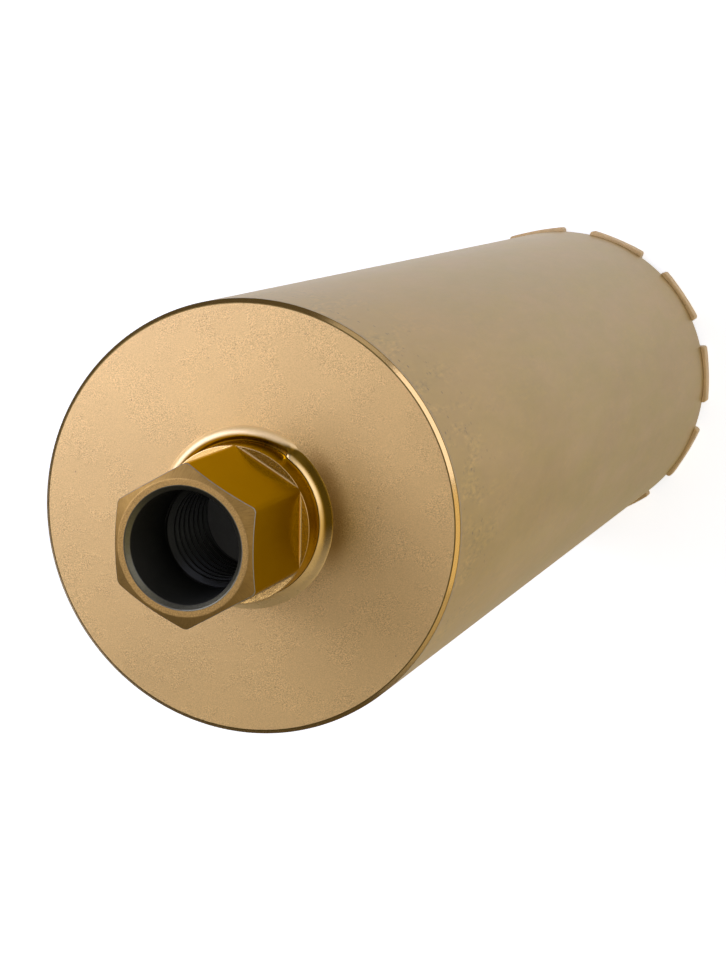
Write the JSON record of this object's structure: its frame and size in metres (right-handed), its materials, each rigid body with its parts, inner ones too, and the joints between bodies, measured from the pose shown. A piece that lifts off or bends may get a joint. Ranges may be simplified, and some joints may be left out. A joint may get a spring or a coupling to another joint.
{
  "type": "diamond core bit",
  "caption": "Steel tube core bit with a crown of diamond segments on one end and a disc with a hexagonal, internally threaded hub on the other.",
  "frame": {"origin": "on the drill axis, at the cutting face of the segments, which is the lowest plane of the bit", "axes": "+Z along the drill axis from the cutting face to the hub, out of the threaded socket; +X through one corner of the hexagon"},
  "size_m": [0.1333, 0.1328, 0.4594],
  "materials": {
    "barrel_paint": "smooth satin champagne-gold metallic paint",
    "plate_paint": "fine-textured satin gold metallic paint over blasted steel",
    "hub_steel": "gold metallic paint on the flats, machined steel in the socket and on the edges",
    "segment_paint": "amber-gold paint over sintered metal"
  },
  "bodies": {
    "root": {"barrel": "barrel_paint", "end_plate": "plate_paint", "hub": "hub_steel", "hub_weld": "plate_paint", "segment_01": "segment_paint", "segment_02": "segment_paint", "segment_03": "segment_paint", "segment_04": "segment_paint", "segment_05": "segment_paint", "segment_06": "segment_paint", "segment_07": "segment_paint", "segment_08": "segment_paint", "segment_09": "segment_paint", "segment_10": "segment_paint", "segment_11": "segment_paint"}
  },
  "joints": []
}
